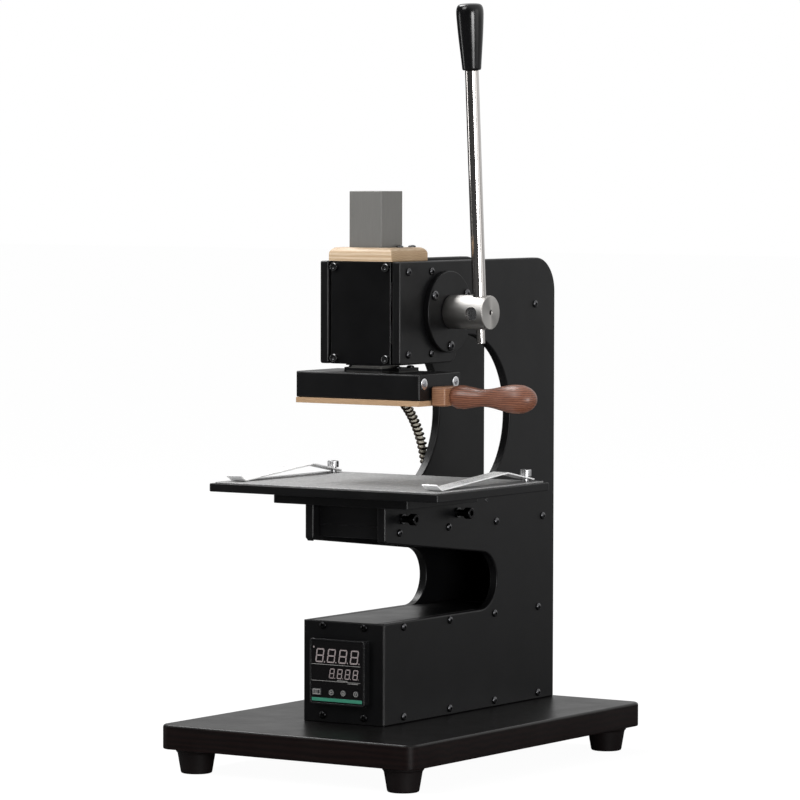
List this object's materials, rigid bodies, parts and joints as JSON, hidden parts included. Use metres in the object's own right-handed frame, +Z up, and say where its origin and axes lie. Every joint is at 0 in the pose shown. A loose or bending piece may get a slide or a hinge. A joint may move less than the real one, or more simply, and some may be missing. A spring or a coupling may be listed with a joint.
{
  "type": "hot foil stamping machine",
  "caption": "Bench hot foil stamping press: lever and pinion drive a square ram with a heated block and slide-out type plate over a sliding padded table; digital controller in the base",
  "frame": {"origin": "On the floor under the feet, below the middle of the whole outline; the frame's middle plane lies 13 mm to the left of it, because the wooden handle reaches out to the right", "axes": "+Z up; -Y is the front, where the controller faces the user; +X is the user's right, where the lever and the wooden handle are"},
  "size_m": [0.246, 0.32, 0.5595],
  "materials": {
    "board_black": "black satin laminate over dark wood",
    "satin_black": "fine-grained satin black powder coat",
    "panel_black": "satin black sheet",
    "block_black": "black anodised",
    "screw_black": "black oxide",
    "steel": "machined",
    "bright_steel": "polished",
    "ram_grey": "ground bar",
    "type_brass": "brushed",
    "bronze": "turned",
    "hose_steel": "heat-tinted wire",
    "lead_tan": "woven glass sleeve",
    "mica": "pressed mica sheet",
    "beech": "oiled",
    "walnut": "turned and oiled",
    "mat_rubber": "grained",
    "plastic_black": "moulded",
    "gloss_black": "glossy",
    "key_grey": "membrane key",
    "switch_red": "moulded"
  },
  "bodies": {
    "frame": {"base_board": "board_black", "feet": "plastic_black", "base_screws": "steel", "side_plate_left": "satin_black", "side_plate_right": "satin_black", "bottom_plate": "satin_black", "box_roof_plate": "satin_black", "arm_plate": "satin_black", "plate_screws": "screw_black", "panel_screws": "steel", "front_panel": "panel_black", "controller_case": "plastic_black", "controller_face": "gloss_black", "relay": "plastic_black", "rear_cover": "satin_black", "mains_inlet": "plastic_black", "switch_housing": "plastic_black", "tie_rod": "satin_black", "lower_guide": "satin_black", "upper_guide": "satin_black", "head_panel": "panel_black", "wood_cap": "beech", "cap_screws": "screw_black", "bearing_flange": "satin_black", "flange_screws": "screw_black", "left_bush": "bronze", "hose_elbow": "satin_black", "lock_rings": "steel", "hose_coil": "hose_steel", "heater_lead": "lead_tan"},
    "lever": {"lever_shaft": "bright_steel", "shaft_collar": "steel", "pinion": "steel", "pinion_spacers": "steel", "lever_rod": "bright_steel", "lever_knob": "gloss_black"},
    "press": {"ram": "ram_grey", "rack_bar": "steel", "ram_flange": "satin_black", "ram_flange_screws": "screw_black", "heat_shield": "mica", "heat_block": "block_black", "heaters": "steel", "block_screws": "bright_steel", "block_ferrule": "steel"},
    "drawer": {"type_plate": "type_brass", "type_handle": "walnut"},
    "table": {"table_plate": "satin_black", "table_mat": "mat_rubber", "slide_plate": "satin_black", "clip_screws": "bright_steel"},
    "left_clip": {"clip_left": "bright_steel"},
    "right_clip": {"clip_right": "bright_steel"},
    "front_lock": {"lock_screw_front": "steel"},
    "rear_lock": {"lock_screw_rear": "steel"},
    "set_button": {"key_set": "key_grey"},
    "shift_button": {"key_shift": "key_grey"},
    "down_button": {"key_down": "key_grey"},
    "up_button": {"key_up": "key_grey"},
    "rocker": {"switch_rocker": "switch_red"}
  },
  "joints": [
    {"name": "lever_hinge", "type": "hinge", "parent": "frame", "child": "lever", "pos_m": [-0.013, -0.001, 0.3345], "axis": [1, 0, 0], "range_deg": [0, 88]},
    {"name": "ram_slide", "type": "slide", "parent": "frame", "child": "press", "axis": [0, 0, -1], "range_m": [0, 0.0427], "deforming": ["hose_coil", "heater_lead"]},
    {"name": "drawer_slide", "type": "slide", "parent": "press", "child": "drawer", "axis": [1, 0, 0], "range_m": [0, 0.06]},
    {"name": "table_slide", "type": "slide", "parent": "frame", "child": "table", "axis": [0, 1, 0], "range_m": [-0.025, 0.012]},
    {"name": "left_clip_swivel", "type": "hinge", "parent": "table", "child": "left_clip", "pos_m": [-0.0985, 0.03, 0.213], "axis": [0, 0, 1], "range_deg": [-20, 20]},
    {"name": "right_clip_swivel", "type": "hinge", "parent": "table", "child": "right_clip", "pos_m": [0.0725, 0.03, 0.213], "axis": [0, 0, 1], "range_deg": [-20, 20]},
    {"name": "front_lock_turn", "type": "hinge", "parent": "frame", "child": "front_lock", "pos_m": [0.022, -0.0588, 0.1855], "axis": [1, 0, 0], "range_deg": [-180, 180]},
    {"name": "rear_lock_turn", "type": "hinge", "parent": "frame", "child": "rear_lock", "pos_m": [0.022, 0.0154, 0.1855], "axis": [1, 0, 0], "range_deg": [-180, 180]},
    {"name": "set_push", "type": "slide", "parent": "frame", "child": "set_button", "axis": [0, 1, 0], "range_m": [0, 0.0005], "stiffness_N_per_m": 300},
    {"name": "shift_push", "type": "slide", "parent": "frame", "child": "shift_button", "axis": [0, 1, 0], "range_m": [0, 0.0005], "stiffness_N_per_m": 300},
    {"name": "down_push", "type": "slide", "parent": "frame", "child": "down_button", "axis": [0, 1, 0], "range_m": [0, 0.0005], "stiffness_N_per_m": 300},
    {"name": "up_push", "type": "slide", "parent": "frame", "child": "up_button", "axis": [0, 1, 0], "range_m": [0, 0.0005], "stiffness_N_per_m": 300},
    {"name": "rocker_tilt", "type": "hinge", "parent": "frame", "child": "rocker", "pos_m": [-0.013, 0.1485, 0.089], "axis": [0, 0, 1], "range_deg": [0, 12]}
  ],
  "couplings": [
    {"joint": "ram_slide", "follows": "lever_hinge", "m_per_rad": 0.02775}
  ]
}
